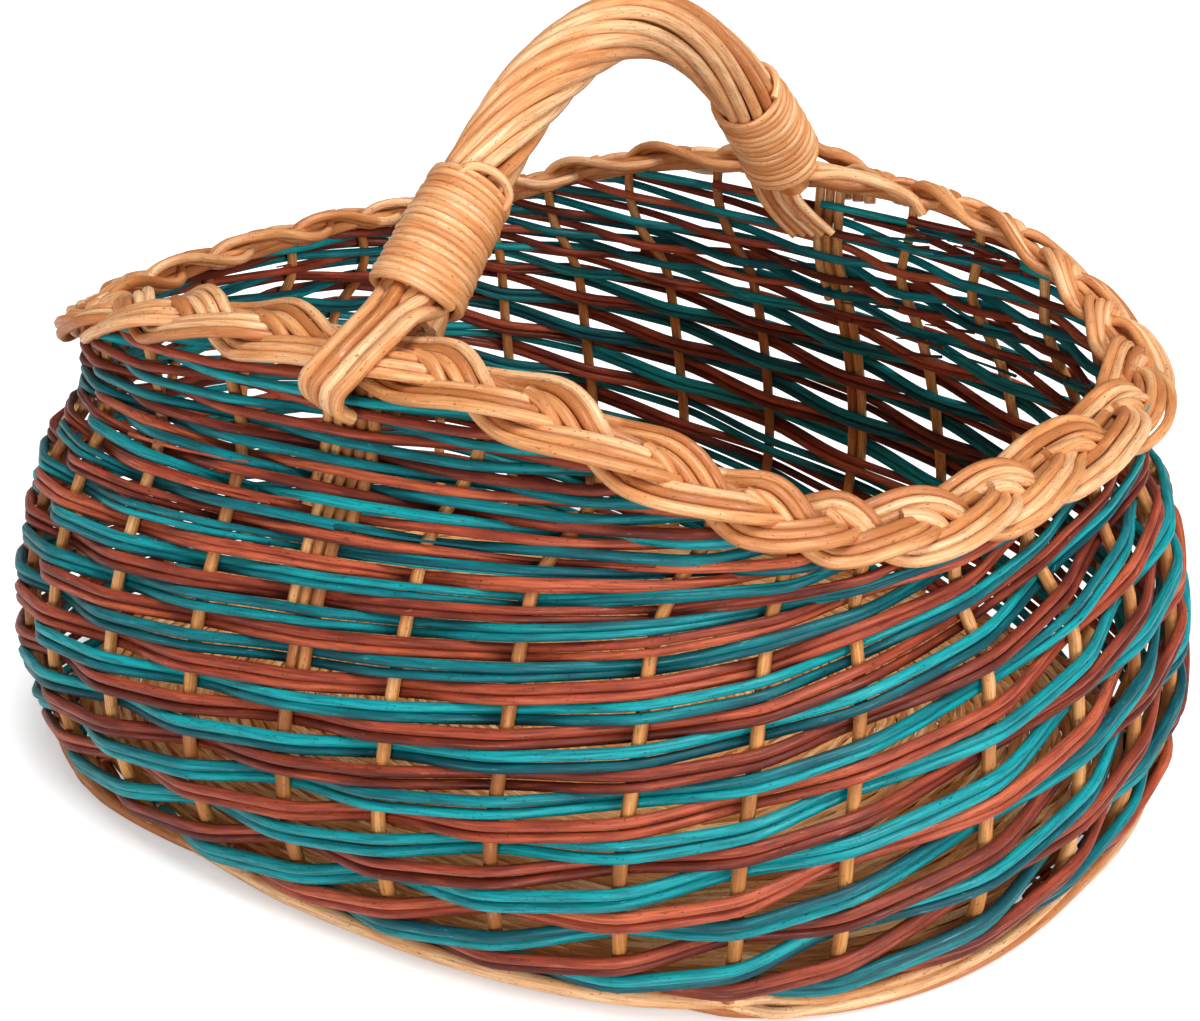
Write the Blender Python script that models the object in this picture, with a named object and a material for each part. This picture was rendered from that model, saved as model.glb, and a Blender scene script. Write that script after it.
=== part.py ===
"""Oval willow shopping basket with a roped bow handle, built piece by piece."""
import math

import bmesh
import bpy
import numpy
from mathutils import Vector

# Clearances between neighbouring pieces
seat_gap = 0.0003
rim_gap = 0.0004

# Stake line of the wall, measured on the centres of the upright stakes
belly_half_length = 0.2296
belly_half_width = 0.2050
handle_offset = 0.0083
wall_power_share = 2.58

# Heights of the wall's levels as shares of the height of the border beside the handle
height_shares = (0, 0.173, 0.305, 0.42, 0.527, 0.623, 0.699, 0.753, 0.797, 0.847, 0.904, 1)
length_shares = (0.957, 1, 1, 0.985, 0.966, 0.944, 0.917, 0.892, 0.873, 0.845, 0.825, 0.82)
width_shares = (0.913, 0.979, 1, 0.987, 0.96, 0.922, 0.885, 0.858, 0.835, 0.815, 0.803, 0.8)
fan_angles = (3, 2.5, 2, 1, 0.3, 0, -0.6, -1.7, -3.1, -4, -4.6, -4.6)
back_quarter_lean_share = 1.6

# Border, a flat plait that dips towards both ends of the oval
border_front_length = 0.1922
border_back_length = 0.2011
border_half_side = 0.1655
border_power_share = 3.1
border_height = 0.1869
border_saddle = 0.0188
border_flattening = 0.0057
border_end_slope = 0.0041
border_half_width = 0.0161
border_half_thickness = 0.0076
border_tilt = 0.39
border_blend_depth = 0.045
border_lead_depth = 0.012
border_outline_shares = (
    (-1, 0), (-0.72, 0.88), (0, 1), (0.72, 0.88), (1, 0), (0.72, -0.88), (0, -1), (-0.72, -0.88),
)

# Upright stakes, as angles from a handle stake over half of one side
stake_angles = (0, 7.4, 18.4, 31.6, 43.9, 55.5, 72.5, 86.1)
stakes_each_side = 15
stake_radius = 0.0026
stake_end_run = 0.0015

# Siding, the woven wall outside the stakes, in two sets of weavers
siding_thickness = 0.0045
siding_clearance = 0.0006
siding_joint_height = 0.1450
lower_level_shares = (0.2, 0.45, 0.75)
upper_level_share = 0.6

# Weave of the lower siding: every third row passes behind the stake, where the stake shows
rows_each_window = 3
first_row = -2
last_row = 13
window_skin = 0.0009
between_reach = 0.0022
row_wave_share = 0.02

# Foot hoop, floor and base sticks
foot_height = 0.0103
foot_inner_reach = 0.0060
foot_outer_reach = 0.0080
foot_chamfer = 0.0025
stick_radius = 0.00225
floor_clearance = 0.0010
floor_thickness = 0.0040
floor_margin = 0.0008
long_stick_places_shares = (-0.45, 0, 0.45)
short_stick_places_shares = (-0.72, -0.48, -0.24, 0, 0.24, 0.48, 0.72)

# Bow handle
handle_shift = -0.0020
handle_foot_reach = 0.0014
handle_side_shift = -0.0040
handle_foot_drop = 0.0052
handle_crown_height = 0.2997
handle_power_share = 1.92
handle_radius = 0.0131
core_radius = 0.0065
core_leg_bottom = 0.1180
core_leg_top = 0.1930
core_leg_clearance = 0.0010
near_core_share = 0.93
far_core_share = 0.955
near_roping_share = 0.92
far_roping_share = 0.93
arc_steps = 18
notch_points = 5
handle_sides = 12

# Bindings wound round the handle
binding_wire_radius = 0.00115
near_binding_shares = (-0.867, -0.611)
far_binding_shares = (0.611, 0.844)
near_binding_loops = 17
far_binding_loops = 14
points_per_loop = 24

# Rods that leave the handle's feet over the border, and a liner beside each handle stake
foot_rod_radius = 0.0023
foot_rod_spacing = 0.0068
foot_rod_drift = 0.0280
near_foot_rods = 4
far_foot_rods = 5
foot_rod_clearance = 0.0006
foot_rod_shares = ((-0.8, 1), (0, 1), (0.9, 1), (1, 0.3), (1, -0.5))
liner_radius = 0.0022
liner_top = 0.1850
near_liner_bottom = 0.1150
far_liner_bottom = 0.0600

# Angles in degrees: edges sharper than the first are shaded sharp, and slopes are read over the second
sharp_edge = 40
reading_step = 0.5

# Colours, linear red, green and blue, and the surface's roughness
natural_willow = (0.56, 0.27, 0.10, 1)
pale_willow = (0.66, 0.36, 0.15, 1)
dark_willow = (0.36, 0.16, 0.06, 1)
dyed_willow = (0.05, 0.18, 0.17, 1)
brown_willow = (0.22, 0.06, 0.03, 1)
willow_roughness = 0.45


def clear_scene():
    for item in list(bpy.data.objects):
        bpy.data.objects.remove(item, do_unlink=True)


def make_collection(name):
    collection = bpy.data.collections.new(name)
    bpy.context.scene.collection.children.link(collection)
    return collection


def make_material(name, colour):
    material = bpy.data.materials.new(name)
    material.use_nodes = True
    shader = material.node_tree.nodes["Principled BSDF"]
    shader.inputs["Base Color"].default_value = colour
    shader.inputs["Roughness"].default_value = willow_roughness
    shader.inputs["Metallic"].default_value = 0
    return material


def smooth_value(place, places, values):
    """Reads a table with a cubic curve through its points."""
    place = min(max(place, places[0]), places[-1])
    last = len(places) - 1
    index = min(int(numpy.searchsorted(places, place, side="right")) - 1, last - 1)
    slopes = numpy.gradient(values, places)
    step = places[index + 1] - places[index]
    along = (place - places[index]) / step
    rise = along * along * (3 - 2 * along)
    start = values[index] + (values[index + 1] - values[index]) * rise
    lead = slopes[index] * along * (1 - along) ** 2
    trail = slopes[index + 1] * along * along * (1 - along)
    return start + step * (lead - trail)


def side_height():
    return border_height + border_saddle + border_flattening


def oval_point(angle, front, back, side, power):
    """Point of an oval about the handle's plane, whose two ends differ in length."""
    across, along = math.cos(angle), math.sin(angle)
    reach = front if across > 0 else back
    x = handle_offset + math.copysign(reach * abs(across) ** (2 / power), across)
    y = math.copysign(side * abs(along) ** (2 / power), along)
    return Vector((x, y, 0))


def rim_height(angle):
    wave = border_flattening * math.cos(4 * angle) - border_saddle * math.cos(2 * angle)
    return border_height + wave - border_end_slope * math.cos(angle)


def rim_point(angle):
    point = oval_point(
        angle, border_front_length, border_back_length, border_half_side, border_power_share
    )
    point.z = rim_height(angle)
    return point


def fanned_angle(angle, height):
    """The stakes lean towards the oval's ends as they rise, and towards the bow in one quarter."""
    fan = smooth_value(height / side_height(), height_shares, fan_angles)
    lean = math.sin(2 * angle)
    if math.sin(angle) > 0 and math.cos(angle) > 0:
        lean = -back_quarter_lean_share * lean
    return angle + math.radians(fan) * lean


def stake_line(angle, height):
    """Centre of a stake at a height, drawn in under the border at its top."""
    turned = fanned_angle(angle, height)
    level = height / side_height()
    half_length = belly_half_length * smooth_value(level, height_shares, length_shares)
    half_width = belly_half_width * smooth_value(level, height_shares, width_shares)
    wall = oval_point(
        turned, half_length - handle_offset, half_length + handle_offset,
        half_width, wall_power_share,
    )
    top = rim_height(turned) - border_lead_depth
    share = min(max((height - top + border_blend_depth) / border_blend_depth, 0), 1)
    share = share * share * (3 - 2 * share)
    point = wall.lerp(rim_point(turned), share)
    point.z = height
    return point


def outward(line, angle):
    """Level unit vector that points out of an oval line at an angle."""
    step = math.radians(reading_step)
    along = line(angle + step) - line(angle - step)
    return Vector((along.y, -along.x, 0)).normalized()


def wall_point(angle, height, offset):
    normal = outward(lambda turn: stake_line(turn, height), angle)
    return stake_line(angle, height) + normal * offset


def rim_angle(angle):
    return fanned_angle(angle, rim_height(angle))


def rim_frame_point(angle, across, above):
    """Point in the border's tilted section, across its width and above its middle."""
    normal = outward(rim_point, angle)
    upward = Vector((0, 0, 1))
    wide = normal * math.cos(border_tilt) - upward * math.sin(border_tilt)
    thick = normal * math.sin(border_tilt) + upward * math.cos(border_tilt)
    return rim_point(angle) + wide * across + thick * above


def underside_height(angle, offset):
    """Height just under the border at a distance outside the stake line."""
    drop = border_half_thickness / math.cos(border_tilt) + offset * math.tan(border_tilt)
    return rim_height(rim_angle(angle)) - drop - rim_gap


def stake_places():
    """Angle of each stake, counter-clockwise from the near handle stake."""
    half = [math.radians(turn) for turn in stake_angles]
    side = half + [math.pi - turn for turn in reversed(half)]
    near = -math.pi / 2
    front = [near + turn for turn in side[:-1]]
    return front + [turn + math.pi for turn in front]


def station_angles():
    """Stakes and the middles between them, the stations of every oval piece."""
    stakes = stake_places()
    stations = []
    for index, angle in enumerate(stakes):
        after = stakes[(index + 1) % len(stakes)]
        if after < angle:
            after += 2 * math.pi
        stations += [angle, (angle + after) / 2]
    return stations


def finish(name, mesh, material, collection):
    mesh.materials.append(material)
    mesh.shade_smooth()
    mesh.set_sharp_from_angle(angle=math.radians(sharp_edge))
    item = bpy.data.objects.new(name, mesh)
    collection.objects.link(item)
    return item


def loft(name, rings, closed, material, collection):
    """Skin through rings of points, closed on itself or with a cap at each end."""
    shape = bmesh.new()
    rows = [[shape.verts.new(point) for point in ring] for ring in rings]
    count = len(rows[0])
    last = len(rows) if closed else len(rows) - 1
    for index in range(last):
        one, two = rows[index], rows[(index + 1) % len(rows)]
        for step in range(count):
            after = (step + 1) % count
            shape.faces.new((one[step], one[after], two[after], two[step]))
    if not closed:
        shape.faces.new(rows[0])
        shape.faces.new(rows[-1])
    bmesh.ops.recalc_face_normals(shape, faces=shape.faces)
    mesh = bpy.data.meshes.new(name)
    shape.to_mesh(mesh)
    shape.free()
    return finish(name, mesh, material, collection)


def tube(name, route, radius, material, collection):
    """Round rod along a route of points, with six sides."""
    curve = bpy.data.curves.new(name, "CURVE")
    curve.dimensions = "3D"
    curve.bevel_depth = radius
    curve.bevel_resolution = 1
    curve.use_fill_caps = True
    spline = curve.splines.new("POLY")
    spline.points.add(len(route) - 1)
    for point, place in zip(spline.points, route):
        point.co = (place.x, place.y, place.z, 1)
    curve.materials.append(material)
    item = bpy.data.objects.new(name, curve)
    collection.objects.link(item)
    return item


def foot_rim(material, collection):
    """Bent hoop that the basket stands on, with a flat underside."""
    inner, outer = -foot_inner_reach, foot_outer_reach
    outline = (
        (inner, 0), (outer - foot_chamfer, 0), (outer, foot_chamfer),
        (outer, foot_height), (inner, foot_height),
    )
    rings = []
    for angle in station_angles():
        base = stake_line(angle, 0)
        normal = outward(lambda turn: stake_line(turn, 0), angle)
        rings.append([base + normal * reach + Vector((0, 0, up)) for reach, up in outline])
    loft("foot_rim", rings, True, material, collection)


def floor_half_sizes(inset):
    """Half sizes of the oval a given distance inside the stake line at the floor."""
    length = belly_half_length * length_shares[0] - inset
    width = belly_half_width * width_shares[0] - inset
    return length, width


def chord(place, along, across, power):
    """Half length of a straight line across an oval at a distance from its middle."""
    return along * (1 - abs(place / across) ** power) ** (1 / power)


def base_sticks(material, collection):
    """Long sticks along the oval with short ones across them, inside the hoop."""
    length, width = floor_half_sizes(foot_inner_reach + 2 * seat_gap)
    low = floor_clearance + stick_radius
    high = low + 2 * stick_radius + seat_gap
    for index, share in enumerate(long_stick_places_shares):
        place = share * width
        edge = abs(place) + stick_radius
        reach = chord(edge, length - handle_offset, width, wall_power_share)
        back = chord(edge, length + handle_offset, width, wall_power_share)
        ends = (handle_offset - back, place, low), (handle_offset + reach, place, low)
        route = [Vector(end) for end in ends]
        tube(f"long_base_stick_{index + 1}", route, stick_radius, material, collection)
    for index, share in enumerate(short_stick_places_shares):
        place = share * length
        side = length - handle_offset if place > handle_offset else length + handle_offset
        edge = abs(place - handle_offset) + stick_radius
        reach = chord(edge, width, side, wall_power_share)
        route = [Vector((place, -reach, high)), Vector((place, reach, high))]
        tube(f"short_base_stick_{index + 1}", route, stick_radius, material, collection)


def floor_weave(material, collection):
    """Woven floor that covers the sticks and ends inside the stakes."""
    inset = stake_radius + floor_margin
    bottom = foot_height + seat_gap
    rings = []
    for height in (bottom, bottom + floor_thickness):
        ring = [wall_point(angle, foot_height, -inset) for angle in station_angles()]
        for point in ring:
            point.z = height
        rings.append(ring)
    loft("floor_weave", rings, False, material, collection)


def wall_heights(angle, offset):
    """Levels of the wall from the hoop to the border, in its two sets, at one angle."""
    bottom = foot_height + seat_gap
    rise = siding_joint_height - bottom
    lower = [bottom] + [bottom + rise * share for share in lower_level_shares]
    lower.append(siding_joint_height)
    start = siding_joint_height + seat_gap
    top = underside_height(angle, offset)
    upper = [start, start + (top - start) * upper_level_share, top]
    return lower, upper


def stake_route(angle):
    """Points of one stake at the siding's own levels."""
    lower, upper = wall_heights(angle, stake_radius)
    return [stake_line(angle, height) for height in lower + upper[1:]]


def lean_factor(angle, height):
    """Level length of a unit that is square to the stake's steepest stretch at a height."""
    route = stake_route(angle)
    steepest = 0
    for below, above in zip(route, route[1:]):
        if below.z - rim_gap <= height <= above.z + rim_gap:
            run = above - below
            steepest = max(steepest, math.hypot(run.x, run.y) / run.z)
    return math.hypot(1, steepest)


def beside_stake(side, height):
    """Point of a handle stake's own centre line at a height."""
    return between_levels(stake_route(side * math.pi / 2), height)


def rod_heights(side, bottom, top):
    """Heights of a rod that follows a handle stake's bends."""
    levels = [point.z for point in stake_route(side * math.pi / 2)]
    return [bottom] + [level for level in levels if bottom < level < top] + [top]


def stakes(material, collection):
    """Upright rods of the wall from the hoop to the border's underside."""
    for index, angle in enumerate(stake_places()):
        route = stake_route(angle)
        first, last = route[0], route[-1]
        above = first + Vector((0, 0, stake_end_run))
        below = last - Vector((0, 0, stake_end_run))
        route = [first, above] + route[1:-1] + [below, last]
        tube(f"stake_{index + 1:02d}", route, stake_radius, material, collection)


def stake_reach(angle, height):
    """Level distance from a stake's centre at which the siding clears it."""
    return (stake_radius + siding_clearance) * lean_factor(angle, height)


def upper_siding(material, collection):
    """Upper set of weavers as a closed wall outside the stakes."""
    faces = []
    for thickness in (0, siding_thickness):
        columns = []
        for angle in station_angles():
            reach = stake_reach(angle, siding_joint_height) + thickness
            heights = wall_heights(angle, reach)[1]
            columns.append([wall_point(angle, height, reach) for height in heights])
        faces.append(list(zip(*columns)))
    rings = faces[0] + list(reversed(faces[1]))
    loft("upper_siding", rings, True, material, collection)


def row_height(row, angle):
    """Height of a row of weavers, counted from the lowest window in which the stakes show."""
    windows = [foot_height] + [share * side_height() for share in height_shares[1:7]]
    rows = [rows_each_window * (index - 1) for index in range(len(windows))]
    wave = 1 + row_wave_share * math.cos(2 * angle)
    return float(numpy.interp(row, rows, windows)) * wave


def between_levels(points, height):
    """Point at a height on the straight stretches through a few levels."""
    levels = [point.z for point in points]
    place = [numpy.interp(height, levels, [point[axis] for point in points]) for axis in (0, 1)]
    return Vector((float(place[0]), float(place[1]), height))


def lower_siding_column(angle, at_stake, backed):
    """Inner and outer points of the lower siding at one station."""
    levels = wall_heights(angle, 0)[0]
    clear = [stake_reach(angle, level) for level in levels]
    low = clear if backed else [-between_reach for level in levels]
    thin = window_skin if backed else 2 * between_reach
    inner = [wall_point(angle, level, reach) for level, reach in zip(levels, low)]
    sunk = [wall_point(angle, level, reach + thin) for level, reach in zip(levels, low)]
    full = [wall_point(angle, level, reach + siding_thickness) for level, reach in zip(levels, clear)]
    outer = [sunk[0]]
    for row in range(first_row, last_row + 1):
        phase = row % rows_each_window
        if at_stake:
            height = row_height(row, angle)
            swollen = phase != 0
        else:
            height = row_height(row - 0.5, angle)
            swollen = phase == 2
        outer.append(between_levels(full if swollen else sunk, height))
    outer.append(full[-1] if at_stake else sunk[-1])
    return inner, outer


def lower_siding(material, collection):
    """Lower set of weavers, which swells over two stakes and sinks behind the next."""
    stations = station_angles()
    beside_handle = (1, len(stations) - 1, 2 * stakes_each_side - 1, 2 * stakes_each_side + 1)
    inner, outer = [], []
    for index, angle in enumerate(stations):
        at_stake = index % 2 == 0
        low, high = lower_siding_column(angle, at_stake, at_stake or index in beside_handle)
        inner.append(low)
        outer.append(high)
    rings = list(zip(*inner)) + list(reversed(list(zip(*outer))))
    loft("lower_siding", rings, True, material, collection)


def border(material, collection):
    """Plaited border as one flat ring with the outer edge low."""
    rings = []
    for angle in station_angles():
        turned = rim_angle(angle)
        ring = [
            rim_frame_point(turned, border_half_width * wide, border_half_thickness * thick)
            for wide, thick in border_outline_shares
        ]
        rings.append(ring)
    return loft("border", rings, True, material, collection)


def handle_half_span():
    """The bow's feet stand just past the inner edge of the border."""
    return border_half_side - border_half_width * math.cos(border_tilt) + handle_foot_reach


def handle_foot_height():
    """The bow's feet end a little under the border's underside."""
    return side_height() - border_half_thickness / math.cos(border_tilt) - handle_foot_drop


def handle_point(share):
    """Centre of the bow at a share of its half span, near side negative."""
    rise = handle_crown_height - handle_foot_height()
    y = handle_side_shift + handle_half_span() * share
    z = handle_foot_height() + rise * (1 - abs(share) ** handle_power_share)
    return Vector((handle_offset + handle_shift, y, z))


def handle_arc(first, last, steps):
    shares = numpy.linspace(first, last, steps + 1)
    return [handle_point(float(share)) for share in shares]


def leg(side):
    """Centre of the bow's end inside the wall, from the border down."""
    inset = stake_radius + core_leg_clearance + core_radius
    points = []
    for height in reversed(rod_heights(side, core_leg_bottom, core_leg_top)):
        lean = lean_factor(side * math.pi / 2, height)
        y = beside_stake(side, height).y - side * inset * lean
        points.append(Vector((handle_offset + handle_shift, y, height)))
    return points


def arc_rings(route, radius):
    """Rings square to a route in the handle's plane."""
    rings = []
    sideways = Vector((1, 0, 0))
    for index, point in enumerate(route):
        before = route[max(index - 1, 0)]
        after = route[min(index + 1, len(route) - 1)]
        up = sideways.cross((after - before).normalized())
        ring = []
        for step in range(handle_sides):
            turn = 2 * math.pi * step / handle_sides
            ring.append(point + radius * (sideways * math.cos(turn) + up * math.sin(turn)))
        rings.append(ring)
    return rings


def roping_route():
    return handle_arc(-near_roping_share, far_roping_share, arc_steps)


def core_route():
    """The whole bow, whose arc inside the roping has the roping's own stations."""
    start = handle_point(-near_core_share)
    end = handle_point(far_core_share)
    return list(reversed(leg(-1))) + [start] + roping_route() + [end] + leg(1)


def handle(core_material, rope_material, collection):
    route = core_route()
    loft("handle_core", arc_rings(route, core_radius), False, core_material, collection)
    arc = roping_route()
    outer = arc_rings(arc, handle_radius)
    bore = arc_rings(arc, core_radius + seat_gap)
    loft("handle_roping", outer + list(reversed(bore)), True, rope_material, collection)


def border_notches(item, material, cutters):
    """Lets both ends of the bow pass through the plait."""
    radius = core_radius + seat_gap
    route = core_route()
    ends = {"near_notch": route[:notch_points], "far_notch": route[-notch_points:]}
    for name, part in ends.items():
        cutter = loft(name, arc_rings(part, radius), False, material, cutters)
        cutter.hide_render = True
        cutter.display_type = "WIRE"
        cut = item.modifiers.new(name, "BOOLEAN")
        cut.operation = "DIFFERENCE"
        cut.solver = "EXACT"
        cut.object = cutter


def least_gap(points, reach):
    """Least distance between loops of a winding, its own wire's width taken off."""
    places = numpy.array([tuple(point) for point in points])
    least = float("inf")
    for index in range(len(places)):
        later = places[index + reach:]
        if len(later):
            least = min(least, float(numpy.linalg.norm(later - places[index], axis=1).min()))
    return least - 2 * binding_wire_radius


def binding(name, shares, loops, material, collection):
    """One unbroken winding round the handle."""
    count = loops * points_per_loop
    radius = handle_radius + seat_gap + binding_wire_radius
    sideways = Vector((1, 0, 0))
    step = (shares[1] - shares[0]) / count
    points = []
    for index in range(count + 1):
        share = shares[0] + step * index
        tangent = (handle_point(share + step) - handle_point(share - step)).normalized()
        up = sideways.cross(tangent)
        turn = 2 * math.pi * index / points_per_loop
        points.append(
            handle_point(share) + radius * (sideways * math.cos(turn) + up * math.sin(turn))
        )
    run = 2 * binding_wire_radius
    head = points[0] + (points[0] - points[1]).normalized() * run
    tail = points[-1] + (points[-1] - points[-2]).normalized() * run
    gap = least_gap(points, points_per_loop // 2)
    print(f"{name} least gap {gap * 1000:.2f} mm")
    tube(name, [head] + points + [tail], binding_wire_radius, material, collection)


def rim_angle_at(x, side):
    """Angle of the border at a place along the basket on one side."""
    reach = border_front_length if x > handle_offset else border_back_length
    across = (abs(x - handle_offset) / reach) ** (border_power_share / 2)
    turn = math.asin(across)
    if x < handle_offset:
        turn = -turn
    return side * (math.pi / 2 - turn)


def foot_rods(name, side, count, material, collection):
    """Rods of the roping that cross the border and tuck in at its outer edge."""
    lift = foot_rod_radius + foot_rod_clearance
    for rod in range(count):
        start = handle_offset + (rod - (count - 1) / 2) * foot_rod_spacing
        route = []
        for index, (wide, thick) in enumerate(foot_rod_shares):
            x = start + side * foot_rod_drift * index / (len(foot_rod_shares) - 1)
            across = border_half_width * wide
            above = border_half_thickness * thick
            if thick == 1:
                above += lift
            else:
                across += lift
            route.append(rim_frame_point(rim_angle_at(x, side), across, above))
        tube(f"{name}_{rod + 1}", route, foot_rod_radius, material, collection)


def liner_rod(name, side, bottom, material, collection):
    """A rod beside a handle stake, pushed down into the weave."""
    beside = stake_radius + seat_gap + liner_radius
    route = []
    for height in rod_heights(side, bottom, liner_top):
        point = beside_stake(side, height)
        route.append(Vector((point.x - side * beside, point.y, point.z)))
    tube(name, route, liner_radius, material, collection)


def build():
    clear_scene()
    basket = make_collection("shopping_basket")
    cutters = make_collection("cutters")
    natural = make_material("natural_willow", natural_willow)
    pale = make_material("pale_willow", pale_willow)
    dark = make_material("dark_willow", dark_willow)
    dyed = make_material("dyed_willow", dyed_willow)
    brown = make_material("brown_willow", brown_willow)
    foot_rim(dark, basket)
    base_sticks(natural, basket)
    floor_weave(natural, basket)
    stakes(natural, basket)
    lower_siding(dyed, basket)
    upper_siding(brown, basket)
    plait = border(pale, basket)
    handle(natural, pale, basket)
    border_notches(plait, pale, cutters)
    binding("near_binding", near_binding_shares, near_binding_loops, natural, basket)
    binding("far_binding", far_binding_shares, far_binding_loops, natural, basket)
    foot_rods("near_foot_rod", -1, near_foot_rods, pale, basket)
    foot_rods("far_foot_rod", 1, far_foot_rods, pale, basket)
    liner_rod("near_liner_rod", -1, near_liner_bottom, natural, basket)
    liner_rod("far_liner_rod", 1, far_liner_bottom, natural, basket)


build()
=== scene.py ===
"""Willow shopping basket: woven wall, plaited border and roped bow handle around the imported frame."""
import math

import bmesh
import bpy
import numpy as np
from mathutils import Matrix, Vector


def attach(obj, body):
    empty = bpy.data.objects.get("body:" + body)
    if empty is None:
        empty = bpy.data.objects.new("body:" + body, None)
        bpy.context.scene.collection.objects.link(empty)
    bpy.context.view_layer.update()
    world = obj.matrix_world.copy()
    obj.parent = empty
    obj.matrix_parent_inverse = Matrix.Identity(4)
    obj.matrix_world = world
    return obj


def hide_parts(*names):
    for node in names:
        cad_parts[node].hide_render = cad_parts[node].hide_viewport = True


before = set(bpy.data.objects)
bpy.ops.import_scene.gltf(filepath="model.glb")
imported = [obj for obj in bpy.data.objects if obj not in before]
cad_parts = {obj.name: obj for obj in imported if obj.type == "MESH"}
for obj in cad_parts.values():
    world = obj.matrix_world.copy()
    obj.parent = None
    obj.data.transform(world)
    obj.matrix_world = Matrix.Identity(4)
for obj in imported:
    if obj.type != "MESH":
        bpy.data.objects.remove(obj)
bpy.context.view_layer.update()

# Sizes in metres. Oval, wall, border and bow are as in the solids, but for the bow's near foot and binding
MM = 0.001
TAU = 2 * math.pi

# Stake line of the wall
BELLY_HALF_LENGTH = 229.6 * MM
BELLY_HALF_WIDTH = 205.0 * MM
HANDLE_OFFSET = 8.3 * MM
WALL_POWER = 2.58
HEIGHT_SHARES = (0, 0.173, 0.305, 0.42, 0.527, 0.623, 0.699, 0.753, 0.797, 0.847, 0.904, 1)
LENGTH_SHARES = (0.957, 1, 1, 0.985, 0.966, 0.944, 0.917, 0.892, 0.873, 0.845, 0.825, 0.82)
WIDTH_SHARES = (0.913, 0.979, 1, 0.987, 0.96, 0.922, 0.885, 0.858, 0.835, 0.815, 0.803, 0.8)
FAN_ANGLES = (3, 2.5, 2, 1, 0.3, 0, -0.6, -1.7, -3.1, -4, -4.6, -4.6)
BACK_QUARTER_LEAN = 1.6

# Border
BORDER_FRONT_LENGTH = 192.2 * MM
BORDER_BACK_LENGTH = 201.1 * MM
BORDER_HALF_SIDE = 165.5 * MM
BORDER_POWER = 3.1
BORDER_HEIGHT = 186.9 * MM
BORDER_SADDLE = 18.8 * MM
BORDER_FLATTENING = 5.7 * MM
BORDER_END_SLOPE = 4.1 * MM
BORDER_HALF_THICKNESS = 7.6 * MM
BORDER_TILT = 0.39
BORDER_BLEND_DEPTH = 45 * MM
BORDER_LEAD_DEPTH = 12 * MM

# Stakes, as angles from a handle stake over a quarter of the oval
STAKE_ANGLES = (0, 7.4, 18.4, 31.6, 43.9, 55.5, 72.5, 86.1)
STAKES = 30
STAKE_RADIUS = 2.6 * MM
FOOT_HEIGHT = 10.3 * MM

# Rows of the siding: heights of every third row, from one below the first seen stake window
ROW_START = -3
ROW_STEP = 3
ROW_HEIGHTS = (9, 36.6, 64.4, 88.9, 111.5, 131.7, 147.7, 159.2, 168.6, 179.1, 191.1, 203.5)
ROW_WAVE = 0.021
FIRST_ROW = -3
JOINT_ROW = 15

# Bow handle
HANDLE_SHIFT = -2.0 * MM
HANDLE_HALF_SPAN = 152 * MM
HANDLE_SIDE_SHIFT = -4 * MM
HANDLE_FOOT_HEIGHT = 198 * MM
HANDLE_CROWN_HEIGHT = 299.7 * MM
HANDLE_POWER = 1.92
HANDLE_RADIUS = 13.1 * MM
NEAR_BINDING = (-0.861, -0.641)
# The near foot of the bow stands this far towards the oval's front end, reached over a stretch of shares
NEAR_FOOT_SWAY = 5.0 * MM
SWAY_START = 0.3
SWAY_RUN = 0.45
FAR_BINDING = (0.611, 0.844)

# Turn and rise to either side over which the directions of the wall and the rim are read
FRAME_TURN = math.radians(0.4)
FRAME_RISE = 1.0 * MM

random = np.random.default_rng(11)


def smooth_table(places, values, count=1201):
    """Fine samples of a cubic curve through a table, for reading with np.interp."""
    places = np.asarray(places, float)
    values = np.asarray(values, float)
    fine = np.linspace(places[0], places[-1], count)
    index = np.clip(np.searchsorted(places, fine, side="right") - 1, 0, len(places) - 2)
    slopes = np.gradient(values, places)
    step = places[index + 1] - places[index]
    along = (fine - places[index]) / step
    rise = along * along * (3 - 2 * along)
    curve = values[index] + (values[index + 1] - values[index]) * rise
    curve += step * slopes[index] * along * (1 - along) ** 2
    curve -= step * slopes[index + 1] * along * along * (1 - along)
    return fine, curve


SIDE_HEIGHT = BORDER_HEIGHT + BORDER_SADDLE + BORDER_FLATTENING
LENGTH_TABLE = smooth_table(HEIGHT_SHARES, LENGTH_SHARES)
WIDTH_TABLE = smooth_table(HEIGHT_SHARES, WIDTH_SHARES)
FAN_TABLE = smooth_table(HEIGHT_SHARES, FAN_ANGLES)
ROW_PLACES = ROW_START + ROW_STEP * np.arange(len(ROW_HEIGHTS))
ROW_TABLE = smooth_table(ROW_PLACES, np.array(ROW_HEIGHTS) * MM)


def read_table(table, place):
    return np.interp(place, table[0], table[1])


def oval(angle, front, back, side, power):
    """Points of an oval about the handle's plane, whose two ends differ in length."""
    across, along = np.cos(angle), np.sin(angle)
    reach = np.where(across > 0, front, back)
    x = HANDLE_OFFSET + np.sign(across) * reach * np.abs(across) ** (2 / power)
    y = np.sign(along) * side * np.abs(along) ** (2 / power)
    return np.stack([x, y, np.zeros_like(x)], -1)


def rim_height(angle):
    wave = BORDER_FLATTENING * np.cos(4 * angle) - BORDER_SADDLE * np.cos(2 * angle)
    return BORDER_HEIGHT + wave - BORDER_END_SLOPE * np.cos(angle)


def rim(angle):
    point = oval(angle, BORDER_FRONT_LENGTH, BORDER_BACK_LENGTH, BORDER_HALF_SIDE, BORDER_POWER)
    point[..., 2] = rim_height(angle)
    return point


def lean(angle):
    """How far the stakes lean along the wall, as a share of the fan at their height."""
    share = np.sin(2 * angle)
    back_quarter = (np.sin(angle) > 0) & (np.cos(angle) > 0)
    return np.where(back_quarter, -BACK_QUARTER_LEAN * share, share)


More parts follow.
